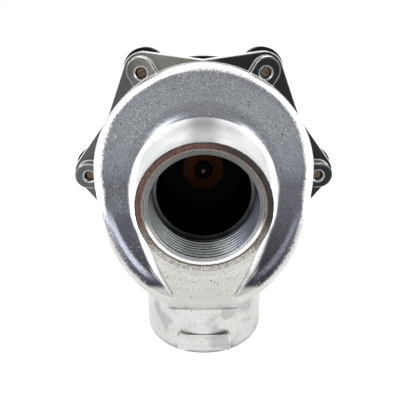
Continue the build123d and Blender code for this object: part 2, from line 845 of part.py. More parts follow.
gland_z = seal_z - connector_height + gland_rise
gland_face_s = connector_s + connector_half
with BuildPart() as connector_housing:
    with BuildSketch(level(seal_z)):
        with Locations((0, connector_s)):
            RectangleRounded(2 * connector_half, 2 * connector_half, connector_round)
    extrude(amount=-connector_height)
    fillet(connector_housing.edges().group_by(Axis.Z)[0], radius=mouth_round)
    with BuildSketch(level(seal_z)):
        with Locations((0, connector_s)):
            RectangleRounded(
                2 * (connector_half - connector_wall),
                2 * (connector_half - connector_wall),
                connector_round - connector_wall,
            )
    extrude(amount=connector_wall - connector_height, mode=Mode.SUBTRACT)
    with BuildSketch(level(connector_foot_z)):
        with Locations((0, connector_s)):
            Circle(connector_screw_r)
    extrude(amount=connector_wall, mode=Mode.SUBTRACT)
    with BuildSketch(face(gland_face_s)):
        with Locations((0, gland_z)):
            Circle(gland_seal_r)
    extrude(amount=connector_wall, mode=Mode.SUBTRACT)
connector_housing.part.label = "connector_housing"
export_step(connector_housing.part, "parts/connector_housing.step")

with BuildPart() as connector_screw:
    with BuildSketch(level(connector_foot_z)):
        with Locations((0, connector_s)):
            Circle(connector_head_r)
    extrude(amount=-connector_head)
    with BuildSketch(level(connector_foot_z)):
        with Locations((0, connector_s)):
            Circle(connector_screw_r)
    extrude(amount=connector_height + flat_seal + screw_root)
    with BuildSketch(level(connector_foot_z - connector_head)):
        with Locations((0, connector_s)):
            Rectangle(2 * connector_head_r, blade_thick)
    extrude(amount=blade_thick, mode=Mode.SUBTRACT)
connector_screw.part.label = "connector_screw"
export_step(connector_screw.part, "parts/connector_screw.step")

with BuildPart() as gland_seal:
    with BuildSketch(face(gland_face_s)):
        with Locations((0, gland_z)):
            Circle(gland_seal_r)
            Circle(gland_hole_r, mode=Mode.SUBTRACT)
    extrude(amount=-gland_seal_length)
gland_seal.part.label = "gland_seal"
export_step(gland_seal.part, "parts/gland_seal.step")

with BuildPart() as gland_nut:
    with BuildSketch(face(gland_face_s)):
        with Locations((0, gland_z)):
            RegularPolygon(radius=gland_r, side_count=6, major_radius=False)
            Circle(gland_seal_r, mode=Mode.SUBTRACT)
    extrude(amount=-gland_seal_length)
    with BuildSketch(face(gland_face_s + gland_seal_length)):
        with Locations((0, gland_z)):
            Circle(gland_r - mouth_round)
            Circle(gland_hole_r + body_gap, mode=Mode.SUBTRACT)
    extrude(amount=gland_seal_length - gland_length)
gland_nut.part.label = "gland_nut"
export_step(gland_nut.part, "parts/gland_nut.step")
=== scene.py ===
import json
import math
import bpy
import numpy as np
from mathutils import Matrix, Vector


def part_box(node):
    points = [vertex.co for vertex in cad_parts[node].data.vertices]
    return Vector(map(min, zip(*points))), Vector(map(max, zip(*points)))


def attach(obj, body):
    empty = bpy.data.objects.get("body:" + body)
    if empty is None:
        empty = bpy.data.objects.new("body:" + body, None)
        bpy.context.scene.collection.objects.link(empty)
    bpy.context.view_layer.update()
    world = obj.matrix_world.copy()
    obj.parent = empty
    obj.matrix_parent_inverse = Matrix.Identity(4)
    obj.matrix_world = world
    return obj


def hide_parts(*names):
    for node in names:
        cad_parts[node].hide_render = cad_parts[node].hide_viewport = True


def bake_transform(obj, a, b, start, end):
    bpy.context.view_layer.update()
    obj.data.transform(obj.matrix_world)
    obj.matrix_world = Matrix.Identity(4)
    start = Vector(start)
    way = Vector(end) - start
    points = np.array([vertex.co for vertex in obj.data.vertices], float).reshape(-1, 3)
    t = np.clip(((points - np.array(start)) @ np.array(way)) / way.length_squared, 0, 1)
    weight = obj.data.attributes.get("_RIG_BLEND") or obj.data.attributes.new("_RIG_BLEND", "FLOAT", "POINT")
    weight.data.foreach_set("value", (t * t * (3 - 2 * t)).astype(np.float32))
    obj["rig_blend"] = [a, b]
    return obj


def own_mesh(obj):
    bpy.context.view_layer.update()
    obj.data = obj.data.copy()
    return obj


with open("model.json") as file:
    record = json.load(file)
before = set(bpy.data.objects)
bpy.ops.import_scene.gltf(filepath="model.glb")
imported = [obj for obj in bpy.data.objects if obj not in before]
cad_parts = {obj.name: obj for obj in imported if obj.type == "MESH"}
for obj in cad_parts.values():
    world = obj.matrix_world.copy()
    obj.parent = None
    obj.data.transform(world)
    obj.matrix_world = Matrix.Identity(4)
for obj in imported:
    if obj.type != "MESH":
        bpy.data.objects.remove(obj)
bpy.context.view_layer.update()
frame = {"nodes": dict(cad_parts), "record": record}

from types import SimpleNamespace
import bmesh
import bpy
from mathutils import Matrix, Vector
from mathutils.bvhtree import BVHTree

# The valve body is one aluminium die casting: blasted skin, turned mouths, and both ports
# tapped with a 1-1/2 inch pipe thread. The solids leave the thread out, so a copy of the
# casting gets a cut thread in place of each plain tapping wall.
mm = 0.001
mounts = {mount["name"]: mount for mount in frame["record"]["mounts"]}
outlet = mounts["outlet_port"]
mouth_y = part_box("valve_body")[0][1]
axis_z = outlet["pos_m"][2]
tap_wall_r = outlet["dims"]["r_mm"] * mm
tap_length = outlet["dims"]["length_mm"] * mm
outlet_thread_y = outlet["pos_m"][1] - tap_length / 2
inlet_lead = 0.1 * mm
inlet_thread_z = mounts["inlet_port"]["pos_m"][2] - inlet_lead
thread_pitch = 25.4 / 11 * mm
thread_depth = 0.82 * mm
thread_tuck = 0.05 * mm
same_spot = 1e-6


def wire(tree, node, inputs):
    """Wires the named inputs of a node to other nodes, or fills them with plain values."""
    for name, value in inputs.items():
        if isinstance(value, bpy.types.NodeSocket):
            tree.links.new(value, node.inputs[name])
        else:
            node.inputs[name].default_value = value


def put(tree, kind, inputs=None, **settings):
    """Adds one node, sets it, and wires or fills the inputs that are named."""
    node = tree.nodes.new(kind)
    for name, value in settings.items():
        setattr(node, name, value)
    wire(tree, node, inputs or {})
    return node


def socket(tree, way, kind, name, value=None):
    """Adds one named input or output to a group."""
    item = tree.interface.new_socket(name=name, in_out=way, socket_type="NodeSocket" + kind)
    if value is not None:
        item.default_value = value


def calc(tree, operation, *values, clamp=False):
    """The result of one Math node."""
    inputs = dict(enumerate(values))
    return put(tree, "ShaderNodeMath", inputs, operation=operation, use_clamp=clamp).outputs[0]


def thread_tree():
    """Geometry Nodes tree of an internal thread: a helical groove in a wall that stands on Z."""
    tree = bpy.data.node_groups.new("tapped thread", "GeometryNodeTree")
    for name in ("Wall Radius", "Depth", "Pitch", "Length", "Run In", "Run Out"):
        socket(tree, "INPUT", "Float", name)
    socket(tree, "INPUT", "Material", "Finish")
    socket(tree, "OUTPUT", "Geometry", "Geometry")
    sizes = put(tree, "NodeGroupInput").outputs
    verts_round = 145
    verts_along = 99
    grid_sizes = {"Size X": 1, "Size Y": 1, "Vertices X": verts_round, "Vertices Y": verts_along}
    grid = put(tree, "GeometryNodeMeshGrid", grid_sizes)
    spot = put(tree, "GeometryNodeInputPosition").outputs[0]
    place = put(tree, "ShaderNodeSeparateXYZ", {0: spot}).outputs
    half_length = calc(tree, "MULTIPLY", sizes["Length"], 0.5)
    along = calc(tree, "MULTIPLY_ADD", place["Y"], sizes["Length"], half_length)
    phase = calc(tree, "SUBTRACT", calc(tree, "DIVIDE", along, sizes["Pitch"]), place["X"])
    wave = calc(tree, "COSINE", calc(tree, "MULTIPLY", phase, 2 * math.pi))
    groove_share = 0.38
    groove = calc(tree, "MULTIPLY_ADD", wave, groove_share - 1, groove_share, clamp=True)
    run_in = calc(tree, "DIVIDE", along, sizes["Run In"], clamp=True)
    left_over = calc(tree, "SUBTRACT", sizes["Length"], along)
    run_out = calc(tree, "DIVIDE", left_over, sizes["Run Out"], clamp=True)
    cut = calc(tree, "MULTIPLY", groove, calc(tree, "MULTIPLY", run_in, run_out))
    radius = calc(tree, "MULTIPLY_ADD", cut, sizes["Depth"], sizes["Wall Radius"])
    turn = calc(tree, "MULTIPLY", place["X"], 2 * math.pi)
    x = calc(tree, "MULTIPLY", radius, calc(tree, "COSINE", turn))
    y = calc(tree, "MULTIPLY", radius, calc(tree, "SINE", turn))
    bent = put(tree, "ShaderNodeCombineXYZ", {"X": x, "Y": y, "Z": along}).outputs[0]
    wall = put(tree, "GeometryNodeSetPosition", {"Geometry": grid.outputs["Mesh"], "Position": bent})
    joined = {"Geometry": wall.outputs[0], "Distance": same_spot}
    closed = put(tree, "GeometryNodeMergeByDistance", joined)
    inward = put(tree, "GeometryNodeFlipFaces", {"Mesh": closed.outputs[0]})
    real = put(tree, "GeometryNodeRealizeInstances", {"Geometry": inward.outputs[0]})
    finish = {"Geometry": real.outputs[0], "Material": sizes["Finish"]}
    coated = put(tree, "GeometryNodeSetMaterial", finish)
    put(tree, "NodeGroupOutput", {"Geometry": coated.outputs[0]})
    return tree


def plain_mesh(name, tree, values):
    """Runs a tree on an empty mesh with those inputs and returns the result as a plain mesh."""
    holder = bpy.data.objects.new(name, bpy.data.meshes.new(name))
    bpy.context.collection.objects.link(holder)
    modifier = holder.modifiers.new(name, "NODES")
    modifier.node_group = tree
    for item in tree.interface.items_tree:
        if item.in_out == "INPUT" and item.name in values:
            modifier[item.identifier] = values[item.name]
    bpy.context.view_layer.update()
    evaluated = holder.evaluated_get(bpy.context.evaluated_depsgraph_get())
    result = bpy.data.meshes.new_from_object(evaluated)
    bpy.data.objects.remove(holder)
    return result


def ramp(tree, value, start, end, low=0.0, high=1.0):
    """A soft step: low up to start, high beyond end, where end may also be the smaller one."""
    inputs = {"Value": value, "From Min": start, "From Max": end, "To Min": low, "To Max": high}
    return put(tree, "ShaderNodeMapRange", inputs, interpolation_type="SMOOTHSTEP").outputs[0]


def both(tree, first, *others):
    """The share in which all masks hold."""
    for other in others:
        first = calc(tree, "MULTIPLY", first, other)
    return first


def either(tree, first, *others):
    """The share in which any of the masks holds."""
    for other in others:
        first = calc(tree, "MAXIMUM", first, other)
    return first


def outside(tree, mask):
    """The share that a mask leaves."""
    return calc(tree, "SUBTRACT", 1.0, mask)


def band(tree, value, start, full, fade, end):
    """A soft band: 0 up to start, 1 from full to fade, and 0 again beyond end."""
    return both(tree, ramp(tree, value, start, full), ramp(tree, value, end, fade))


def grain_group():
    """Grain, pits and relief of a cast, moulded or rubbed skin."""
    tree = bpy.data.node_groups.new("skin grain", "ShaderNodeTree")
    socket(tree, "INPUT", "Vector", "Place")
    for name, value in (("Grains per mm", 1.0), ("Pits per mm", 0.3), ("Pit Share", 0.2)):
        socket(tree, "INPUT", "Float", name, value)
    for name in ("Grain", "Cloud", "Pits", "Height"):
        socket(tree, "OUTPUT", "Float", name)
    knobs = put(tree, "NodeGroupInput").outputs
    place = knobs["Place"]
    grain_scale = calc(tree, "MULTIPLY", knobs["Grains per mm"], 1 / mm)
    pit_scale = calc(tree, "MULTIPLY", knobs["Pits per mm"], 1 / mm)
    clouds_per_metre = 90.0
    fine_inputs = {"Vector": place, "Scale": grain_scale, "Detail": 3.0}
    fine = put(tree, "ShaderNodeTexNoise", fine_inputs).outputs["Fac"]
    cloud_inputs = {"Vector": place, "Scale": clouds_per_metre, "Detail": 4.0}
    cloud = put(tree, "ShaderNodeTexNoise", cloud_inputs).outputs["Fac"]
    cells = put(tree, "ShaderNodeTexVoronoi", {"Vector": place, "Scale": pit_scale}).outputs
    chance = put(tree, "ShaderNodeSeparateColor", {0: cells["Color"]}).outputs[0]
    picked = calc(tree, "LESS_THAN", chance, knobs["Pit Share"])
    pits = both(tree, picked, ramp(tree, cells["Distance"], 0.35, 0.15))
    height = calc(tree, "SUBTRACT", fine, calc(tree, "MULTIPLY", pits, 1.5))
    results = {
        "Grain": ramp(tree, fine, 0.3, 0.7),
        "Cloud": ramp(tree, cloud, 0.3, 0.7),
        "Pits": pits,
        "Height": height,
    }
    put(tree, "NodeGroupOutput", results)
    return tree


def turning_group():
    """Fine rings left by a lathe round a line that runs along Y at a given height."""
    tree = bpy.data.node_groups.new("turning marks", "ShaderNodeTree")
    socket(tree, "INPUT", "Vector", "Place")
    for name, value in (("Axis Height", axis_z), ("Rings per mm", 3.0)):
        socket(tree, "INPUT", "Float", name, value)
    for name in ("Rings", "Radius"):
        socket(tree, "OUTPUT", "Float", name)
    knobs = put(tree, "NodeGroupInput").outputs
    spot = put(tree, "ShaderNodeSeparateXYZ", {0: knobs["Place"]}).outputs
    rise = calc(tree, "SUBTRACT", spot["Z"], knobs["Axis Height"])
    square = calc(tree, "MULTIPLY_ADD", rise, rise, calc(tree, "MULTIPLY", spot["X"], spot["X"]))
    radius = calc(tree, "SQRT", square)
    facing_way = put(tree, "ShaderNodeTexCoord").outputs["Normal"]
    forward = put(tree, "ShaderNodeSeparateXYZ", {0: facing_way}).outputs["Y"]
    on_face = calc(tree, "GREATER_THAN", calc(tree, "ABSOLUTE", forward), 0.5)
    across_face = calc(tree, "MULTIPLY", radius, on_face)
    line = put(tree, "ShaderNodeCombineXYZ", {"X": across_face, "Y": spot["Y"]}).outputs[0]
    scale = calc(tree, "MULTIPLY", knobs["Rings per mm"], 1 / mm)
    ring_inputs = {"Vector": line, "Scale": scale, "Detail": 2.0}
    rings = put(tree, "ShaderNodeTexNoise", ring_inputs).outputs["Fac"]
    put(tree, "NodeGroupOutput", {"Rings": ramp(tree, rings, 0.3, 0.7), "Radius": radius})
    return tree


def edge_group():
    """Mask of the outer edges that handling rubs bright."""
    tree = bpy.data.node_groups.new("rubbed edges", "ShaderNodeTree")
    socket(tree, "INPUT", "Float", "Width", 0.5 * mm)
    socket(tree, "OUTPUT", "Float", "Edges")
    width = put(tree, "NodeGroupInput").outputs["Width"]
    rounded = put(tree, "ShaderNodeBevel", {"Radius": width}, samples=6).outputs[0]
    flat = put(tree, "ShaderNodeNewGeometry").outputs["Normal"]
    likeness = put(tree, "ShaderNodeVectorMath", {0: rounded, 1: flat}, operation="DOT_PRODUCT")
    edges = ramp(tree, likeness.outputs["Value"], 0.985, 0.88)
    put(tree, "NodeGroupOutput", {"Edges": edges})
    return tree


grain_tree = grain_group()
turning_tree = turning_group()
edge_tree = edge_group()


def blend_colour(tree, share, first, second):
    """Two colours mixed by a mask."""
    return put(tree, "ShaderNodeMix", {0: share, 6: first, 7: second}, data_type="RGBA").outputs[2]


def grey(level, tint=(1, 1, 1)):
    """A colour of that level, tinted."""
    return tuple(level * part for part in tint) + (1,)


def bump(tree, height, strength, distance):
    """The normal of a skin with that relief."""
    inputs = {"Height": height, "Strength": strength, "Distance": distance}
    return put(tree, "ShaderNodeBump", inputs).outputs[0]


def new_material(name):
    """An empty material, its tree, its Principled shader and the place on the piece."""
    material = bpy.data.materials.new(name)
    material.use_nodes = True
    tree = material.node_tree
    place = put(tree, "ShaderNodeTexCoord").outputs["Object"]
    return material, tree, tree.nodes["Principled BSDF"], place


def from_centre(tree, at, centre_rise):
    """Distance in mm, seen from the front, to a centre that lies above or below the axis."""
    over = calc(tree, "SUBTRACT", at.rise, centre_rise)
    square = calc(tree, "MULTIPLY_ADD", over, over, calc(tree, "MULTIPLY", at.right, at.right))
    return calc(tree, "SQRT", square)


def casting_place(tree, place):
    """Where a spot of the casting lies, in mm from the outlet mouth's centre, and faces."""
    spot = put(tree, "ShaderNodeSeparateXYZ", {0: place}).outputs
    facing_way = put(tree, "ShaderNodeTexCoord").outputs["Normal"]
    facing = put(tree, "ShaderNodeSeparateXYZ", {0: facing_way}).outputs
    turned = put(tree, "ShaderNodeGroup", {"Place": place}, node_tree=turning_tree).outputs
    at = SimpleNamespace(forward=facing["Y"], upward=facing["Z"], rings=turned["Rings"])
    at.depth = calc(tree, "MULTIPLY", calc(tree, "SUBTRACT", spot["Y"], mouth_y), 1 / mm)
    at.rise = calc(tree, "MULTIPLY", calc(tree, "SUBTRACT", spot["Z"], axis_z), 1 / mm)
    at.right = calc(tree, "MULTIPLY", spot["X"], 1 / mm)
    at.radius = calc(tree, "MULTIPLY", turned["Radius"], 1 / mm)
    lower_rim_centre = 8.0
    at.outward = either(tree, at.radius, from_centre(tree, at, lower_rim_centre))
    return at


def ring_face(tree, at, grain):
    """Blasted ring face and ramp, painted darker downwards as shade, with low pale stripes painted as
    highlight, and a bright rim.
    """
    top = grey(0.22, (0.94, 0.98, 1.06))
    middle = grey(0.14, (0.93, 0.97, 1.09))
    foot = grey(0.05, (0.98, 0.95, 1.2))
    # Painted shade: the ring face and ramp darken from top to foot.
    skin = blend_colour(tree, ramp(tree, at.rise, 38.0, -5.0), top, middle)
    skin = blend_colour(tree, ramp(tree, at.rise, -4.0, -34.0), skin, foot)
    # Painted highlight: pale bluish stripes along the outer part of the lower ramp.
    highlight_streak = both(
        tree,
        band(tree, at.outward, 47.4, 48.8, 49.4, 50.4),
        band(tree, at.rise, -37.0, -31.0, -18.0, -11.0),
        ramp(tree, at.right, -10.0, 10.0, 0.85, 0.3),
    )
    skin = blend_colour(tree, highlight_streak, skin, grey(0.62, (0.9, 0.93, 1.1)))
    # Painted highlight on the rounded outer rim: near white at the top, greyer towards the bottom.
    upper_start = ramp(tree, at.rise, 40.0, 8.0, 50.4, 48.2)
    lower_shift = ramp(tree, at.rise, -1.0, -19.0, 0.0, 3.8)
    rim_start = calc(tree, "ADD", upper_start, lower_shift)
    ragged_out = calc(tree, "MULTIPLY_ADD", grain["Grain"], 0.8, at.outward)
    past_start = calc(tree, "SUBTRACT", ragged_out, rim_start)
    rim_fade = 1.3
    rim = calc(tree, "DIVIDE", past_start, rim_fade, clamp=True)
    at.rim = either(tree, rim, ramp(tree, at.rise, -37.2, -39.2))
    upper_rim = grey(0.84)
    lower_rim = grey(0.46, (1.0, 1.0, 0.97))
    rim_skin = blend_colour(tree, ramp(tree, at.rise, -5.0, -30.0), upper_rim, lower_rim)
    return blend_colour(tree, at.rim, skin, rim_skin)


def neck_and_flank(tree, at, skin):
    """The neck with a painted highlight that is grey in its middle, the apron's sideways faces painted bright
    as well, and the fillets at their foot with their own painted highlight.
    """
    bright_centre = -4.0
    round_neck = ramp(tree, from_centre(tree, at, bright_centre), 35.3, 34.6)
    neck = both(tree, round_neck, ramp(tree, at.rise, -16.0, -8.0))
    # The apron's faces that turn sideways get the same painted highlight.
    sideways = ramp(tree, at.forward, -0.5, -0.3)
    apron_side = both(tree, sideways, ramp(tree, at.outward, 46.0, 44.0))
    at.neck = either(tree, neck, apron_side)
    # Painted highlight: whiter at the neck's sides than in its middle, and a little greyer near the mouth.
    off_middle = ramp(tree, calc(tree, "ABSOLUTE", at.right), 2.0, 10.0, 0.5, 0.96)
    level = both(tree, off_middle, ramp(tree, at.depth, 1.0, 13.0, 0.78, 1.0))
    levels = {"Red": level, "Green": level, "Blue": level}
    neck_highlight_skin = put(tree, "ShaderNodeCombineColor", levels).outputs[0]
    skin = blend_colour(tree, at.neck, skin, neck_highlight_skin)
    # Painted highlight on the fillets, carried on their vertices beyond the mark of 1; lighter at the top
    # than at the bottom.
    at.on_flank = put(tree, "ShaderNodeAttribute", attribute_name="flank").outputs["Fac"]
    at.flank = calc(tree, "SUBTRACT", at.on_flank, 1.0, clamp=True)
    upper_flank = grey(0.86)
    lower_flank = grey(0.47, (1.0, 1.0, 0.98))
    flank_skin = blend_colour(tree, ramp(tree, at.rise, -14.0, -24.0), upper_flank, lower_flank)
    return blend_colour(tree, at.flank, skin, flank_skin)


plate_start = 41.0
plate_full = 42.5


def plate_and_lugs(tree, at, skin):
    """Joint plate and lugs: front faces painted dark as shade, darkest at the right, a painted lit patch at
    the upper left, and sides painted lighter where they face up.
    """
    # Painted shade and light on the lugs' front faces: dark, darkest at the right, paler at the upper left.
    shaded_right_face = grey(0.02, (0.95, 1.0, 1.1))
    left_face = grey(0.075)
    lit_face = grey(0.17, (1.0, 0.98, 0.9))
    face = blend_colour(tree, ramp(tree, at.right, 10.0, -10.0), shaded_right_face, left_face)
    face = blend_colour(tree, band(tree, at.right, -36.0, -24.0, -4.0, 10.0), face, lit_face)
    # Painted light: the lugs' sides are painted lighter where they face up.
    sides = blend_colour(tree, ramp(tree, at.upward, 0.3, 0.7), grey(0.3), grey(0.75))
    lugs = blend_colour(tree, ramp(tree, at.forward, -0.3, -0.6), sides, face)
    return blend_colour(tree, ramp(tree, at.depth, plate_start, plate_full), skin, lugs)


port_start = -45.0
port_full = -49.0


def apron_and_port(tree, at, grain, skin):
    """The apron's blasted front, and the bright inlet port with its stains, painted shade where the port is
    tucked under the rim, and a painted shadow line beneath the rim.
    """
    at.apron = both(tree, ramp(tree, at.depth, 1.3, 0.9), ramp(tree, at.rise, -14.0, -20.0))
    skin = blend_colour(tree, at.apron, skin, grey(0.42, (1.0, 1.0, 0.94)))
    stain = both(tree, ramp(tree, grain["Cloud"], 0.62, 0.98), 0.42)
    clean_port = grey(0.5, (1.0, 1.01, 0.98))
    stained_port = grey(0.18, (0.98, 1.0, 0.95))
    port = blend_colour(tree, stain, clean_port, stained_port)
    skin = blend_colour(tree, ramp(tree, at.rise, port_start, port_full), skin, port)
    # Painted shade: the port is darkened where ambient occlusion finds little open space.
    openness = put(tree, "ShaderNodeAmbientOcclusion", {"Distance": 5.0 * mm}, samples=8)
    occluded = ramp(tree, openness.outputs["AO"], 0.8, 0.45)
    nook_shade = both(tree, occluded, ramp(tree, at.rise, port_start, port_full, 0.0, 0.85))
    # Painted shadow: a dark line just under the rim, in front of the port.
    sag = 0.011
    bow = calc(tree, "MULTIPLY", at.right, sag)
    along_apron = calc(tree, "MULTIPLY_ADD", at.right, bow, at.rise)
    in_front = ramp(tree, calc(tree, "ABSOLUTE", at.right), 18.0, 14.0)
    crease_shadow = both(tree, band(tree, along_apron, -49.5, -48.9, -48.3, -47.9), in_front, 0.6)
    return blend_colour(tree, either(tree, nook_shade, crease_shadow), skin, grey(0.07, (1.0, 1.0, 0.95)))


def mouth(tree, at, grain, skin):
    """Mouth land: brown at one side, dark and pitted at the other, a dark line round the upper half of its
    outer edge, and its faced edge.
    """
    brown = grey(0.065, (1.4, 0.8, 0.7))
    dark = grey(0.032, (1.0, 0.95, 0.9))
    dull = grey(0.12, (1.1, 1.0, 0.88))
    pale = grey(0.28, (1.02, 1.0, 0.93))
    tarnish = blend_colour(tree, ramp(tree, at.right, -6.0, 16.0), brown, dark)
    tarnish = blend_colour(tree, ramp(tree, at.rise, -4.0, -12.0), tarnish, dull)
    tarnish = blend_colour(tree, ramp(tree, at.rise, -13.0, -20.0), tarnish, pale)
    at.land = both(tree, ramp(tree, at.depth, 0.4, 0.2), ramp(tree, at.radius, 27.9, 27.4))
    skin = blend_colour(tree, at.land, skin, tarnish)
    # A dark line round the upper half of the mouth's outer edge.
    ragged = calc(tree, "MULTIPLY_ADD", grain["Grain"], 0.9, at.radius)
    at.burr = both(
        tree,
        ramp(tree, ragged, 27.7, 27.9),
        ramp(tree, at.depth, 0.7, 0.5),
        ramp(tree, at.rise, -12.0, -4.0),
    )
    skin = blend_colour(tree, at.burr, skin, grey(0.03))
    at.faced = both(tree, ramp(tree, at.depth, 0.4, 0.3), ramp(tree, at.radius, 25.4, 25.2))
    return blend_colour(tree, at.faced, skin, grey(0.12, (1.2, 0.9, 0.82)))


def bores(tree, at, place, skin):
    """Chamfer and thread of both ports with painted light and shade, and the outlet's deep bore painted near
    black as shade, with its grey shoulder.
    """
    in_outlet = both(tree, ramp(tree, at.radius, 24.75, 24.65), ramp(tree, at.depth, 0.2, 0.3))
    level = put(tree, "ShaderNodeVectorMath", {0: place, 1: (1, 1, 0)}, operation="MULTIPLY")
    length = put(tree, "ShaderNodeVectorMath", {0: level.outputs[0]}, operation="LENGTH")
    in_port = ramp(tree, length.outputs["Value"], 23.6 * mm, 23.5 * mm)
    in_inlet = both(tree, in_port, ramp(tree, at.rise, -46.0, -46.5))
    at.machined = either(tree, in_outlet, in_inlet)

    score_pitch = 0.8
    wave = calc(tree, "SINE", calc(tree, "MULTIPLY", at.radius, 2 * math.pi / score_pitch))
    scored = both(tree, ramp(tree, wave, 0.1, 0.7), ramp(tree, at.rise, -10.0, -2.0))
    # Painted reflection: the chamfer is dark at the top and near white at the bottom.
    shaded_upper_chamfer = blend_colour(tree, scored, grey(0.2, (0.96, 1.0, 0.96)), grey(0.03))
    lit_lower_chamfer = grey(0.8, (0.98, 1.0, 1.02))
    chamfer = blend_colour(tree, ramp(tree, at.rise, -3.0, -12.0), shaded_upper_chamfer, lit_lower_chamfer)
    # Painted shade: the thread is darker towards the right.
    left_thread = grey(0.25, (0.93, 1.0, 0.98))
    shaded_right_thread = grey(0.15, (0.9, 0.96, 1.2))
    threads = blend_colour(tree, ramp(tree, at.right, 4.0, 17.0), left_thread, shaded_right_thread)
    cut_skin = blend_colour(tree, ramp(tree, at.depth, 1.6, 2.0), chamfer, threads)
    skin = blend_colour(tree, at.machined, skin, cut_skin)

    first_turn = both(
        tree, in_outlet, ramp(tree, at.radius, 23.9, 23.5), ramp(tree, at.depth, 2.0, 1.8), 0.75
    )
    skin = blend_colour(tree, first_turn, skin, grey(0.12))
    # Painted shade in the thread's roots.
    root_shade = both(
        tree, in_outlet, ramp(tree, at.radius, 22.6, 23.1), ramp(tree, at.depth, 2.2, 2.6), 0.6
    )
    skin = blend_colour(tree, root_shade, skin, grey(0.12, (0.96, 1.0, 1.03)))
    # Painted shade: the relief and the bore behind it are painted near black; the shoulder that faces the
    # mouth stays grey.
    relief = both(tree, in_outlet, ramp(tree, at.depth, 17.9, 18.2))
    skin = blend_colour(tree, relief, skin, grey(0.007))
    faces_front = ramp(tree, at.forward, -0.5, -0.8)
    shoulder = both(tree, relief, faces_front, ramp(tree, at.depth, 21.0, 20.6))
    return blend_colour(tree, shoulder, skin, grey(0.15, (0.95, 1.0, 1.05)))


def speckled(tree, at, grain, skin):
    """Fine speckle, pits, turning marks and bright flecks over all of the casting."""
    dull = outside(tree, either(tree, at.rim, at.neck, at.flank))
    spread = calc(tree, "MULTIPLY_ADD", at.land, 0.3, 0.06)
    spread = calc(tree, "MULTIPLY_ADD", dull, 0.19, spread)
    spread = calc(tree, "MULTIPLY_ADD", at.apron, -0.08, spread)
    swing = calc(tree, "SUBTRACT", grain["Grain"], 0.5)
    speckle = calc(tree, "MULTIPLY_ADD", swing, calc(tree, "MULTIPLY", spread, 2.0), 1.0)
    spots = calc(tree, "MULTIPLY_ADD", grain["Pits"], -0.55, speckle)
    texture = both(tree, spots, ramp(tree, at.rings, 0.0, 1.0, 0.9, 1.06))
    scaled = put(tree, "ShaderNodeVectorMath", {0: skin, "Scale": texture}, operation="SCALE")
    bright_grain = ramp(tree, grain["Grain"], 0.9, 1.0)
    flecks = both(tree, bright_grain, ramp(tree, grain["Cloud"], 0.45, 0.8), dull, 0.35)
    return blend_colour(tree, flecks, scaled.outputs[0], grey(0.7))


def rubbed(tree, at, skin):
    """Outer edges rubbed bright by handling, most of all on the lugs and least on the port."""
    edges = put(tree, "ShaderNodeGroup", {"Width": 1.0 * mm}, node_tree=edge_tree).outputs["Edges"]
    ring_middle = both(
        tree,
        ramp(tree, at.outward, 48.0, 46.0),
        ramp(tree, at.depth, 1.2, 1.8),
        calc(tree, "LESS_THAN", at.depth, 40.0),
    )
    off_flank = calc(tree, "LESS_THAN", at.on_flank, 0.5)
    edges = both(tree, edges, at.as_cast, outside(tree, ring_middle), off_flank)
    on_lugs = ramp(tree, at.depth, plate_start, plate_full, 1.0, 2.2)
    edges = calc(tree, "MULTIPLY", edges, on_lugs, clamp=True)
    edges = both(tree, edges, ramp(tree, at.rise, port_full, port_full - 2.0, 1.0, 0.2))
    return blend_colour(tree, edges, skin, grey(0.88))


def cast_aluminium():
    """The casting's skin by zone: blasted ring face with painted shade, bright port, brown mouth, dark lugs,
    painted highlights on neck, fillets and rim, and painted shade in bore and hollows.
    """
    material, tree, shader, place = new_material("cast aluminium")
    knobs = {"Place": place, "Grains per mm": 1.5, "Pits per mm": 0.7, "Pit Share": 0.1}
    grain = put(tree, "ShaderNodeGroup", knobs, node_tree=grain_tree).outputs
    at = casting_place(tree, place)
    skin = ring_face(tree, at, grain)
    skin = neck_and_flank(tree, at, skin)
    skin = plate_and_lugs(tree, at, skin)
    skin = apron_and_port(tree, at, grain, skin)
    skin = mouth(tree, at, grain, skin)
    skin = bores(tree, at, place, skin)
    at.as_cast = outside(tree, either(tree, at.machined, at.land, at.faced))
    at.as_cast = both(tree, at.as_cast, outside(tree, at.burr))
    skin = speckled(tree, at, grain, skin)
    skin = rubbed(tree, at, skin)
    # Under the neck's painted highlight the metal is made less metallic, so that the painted white shows.
    neck_highlight = both(tree, at.neck, at.as_cast)
    rough = ramp(tree, grain["Cloud"], 0.0, 1.0, 0.30, 0.42)
    height = both(tree, grain["Height"], outside(tree, at.machined))
    height = calc(tree, "MULTIPLY_ADD", at.rings, 0.25, height)
    wire(tree, shader, {
        "Base Color": skin,
        "Roughness": calc(tree, "MULTIPLY_ADD", at.machined, 0.04, rough),
        "Metallic": ramp(tree, neck_highlight, 0.0, 1.0, 1.0, 0.4),
        "Normal": bump(tree, height, 0.35, 0.08 * mm),
    })
    return material


aluminium = cast_aluminium()
thread = thread_tree()
thread_sizes = {
    "Wall Radius": tap_wall_r,
    "Depth": thread_depth,
    "Pitch": thread_pitch,
    "Length": tap_length,
    "Run In": 0.5 * mm,
    "Run Out": 1.6 * mm,
    "Finish": aluminium,
}
outlet_turn = Matrix.Translation((0, outlet_thread_y, axis_z)) @ Matrix.Rotation(-math.pi / 2, 4, "X")
inlet_turn = Matrix.Translation((0, 0, inlet_thread_z))

plain_casting = frame["nodes"]["valve_body"].data
casting = bmesh.new()
casting.from_mesh(plain_casting)
surface = casting.loops.layers.float_vector.new("surface")
for face in casting.faces:
    for corner in face.loops:
        corner[surface] = plain_casting.corner_normals[corner.index].vector
bmesh.ops.remove_doubles(casting, verts=casting.verts, dist=same_spot)


